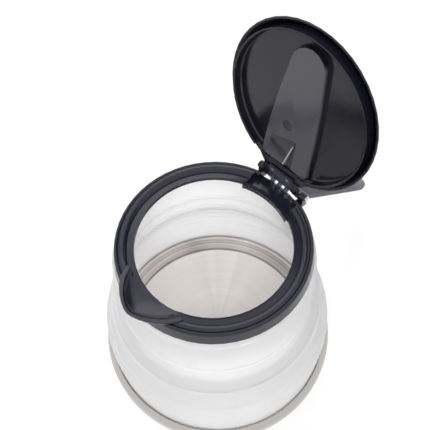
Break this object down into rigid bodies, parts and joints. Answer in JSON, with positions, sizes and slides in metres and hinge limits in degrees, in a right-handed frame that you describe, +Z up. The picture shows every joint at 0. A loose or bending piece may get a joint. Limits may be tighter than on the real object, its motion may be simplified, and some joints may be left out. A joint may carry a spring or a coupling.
{
  "type": "collapsible kettle",
  "caption": "Collapsible stovetop kettle with a steel base pan, folding silicone body, black collar with pouring spout, hinged lid and folding handle.",
  "frame": {"origin": "centre of the flat underside of the base", "axes": "+Z up, spout towards -X, lid hinge and handle at +X"},
  "size_m": [0.2543, 0.1752, 0.2557],
  "materials": {
    "brushed_steel": "satin, turned",
    "aluminium": "as rolled",
    "white_silicone": "satin white silicone",
    "black_plastic": "fine satin",
    "blackened_steel": "blackened"
  },
  "bodies": {
    "base": {"base_disc_cover": "brushed_steel", "heat_spreader_disc": "aluminium", "base_pan": "brushed_steel", "base_rim_ring": "brushed_steel", "silicone_body": "white_silicone"},
    "collar": {"collar_rim": "black_plastic", "collar_retaining_ring": "black_plastic", "hinge_pin": "blackened_steel", "pin_retaining_clip": "blackened_steel"},
    "lid": {"lid_outer_shell": "black_plastic", "lid_inner_liner": "black_plastic", "lid_hinge_leaf": "black_plastic", "lid_leaf_screw_1": "blackened_steel", "lid_leaf_screw_2": "blackened_steel"},
    "handle": {"handle_upper_cover": "black_plastic", "handle_lower_cover": "black_plastic", "handle_frame": "black_plastic", "handle_screw_1": "brushed_steel", "handle_screw_2": "brushed_steel", "handle_screw_3": "brushed_steel"}
  },
  "joints": [
    {"name": "collapse", "type": "slide", "parent": "base", "child": "collar", "axis": [0, 0, -1], "range_m": [0, 0.062], "deforming": ["silicone_body"]},
    {"name": "lid_hinge", "type": "hinge", "parent": "collar", "child": "lid", "pos_m": [0.061, 0, 0.145], "axis": [0, -1, 0], "range_deg": [0, 98.5]},
    {"name": "handle_hinge", "type": "hinge", "parent": "collar", "child": "handle", "pos_m": [0.061, 0, 0.145], "axis": [0, -1, 0], "range_deg": [0, 121]}
  ]
}
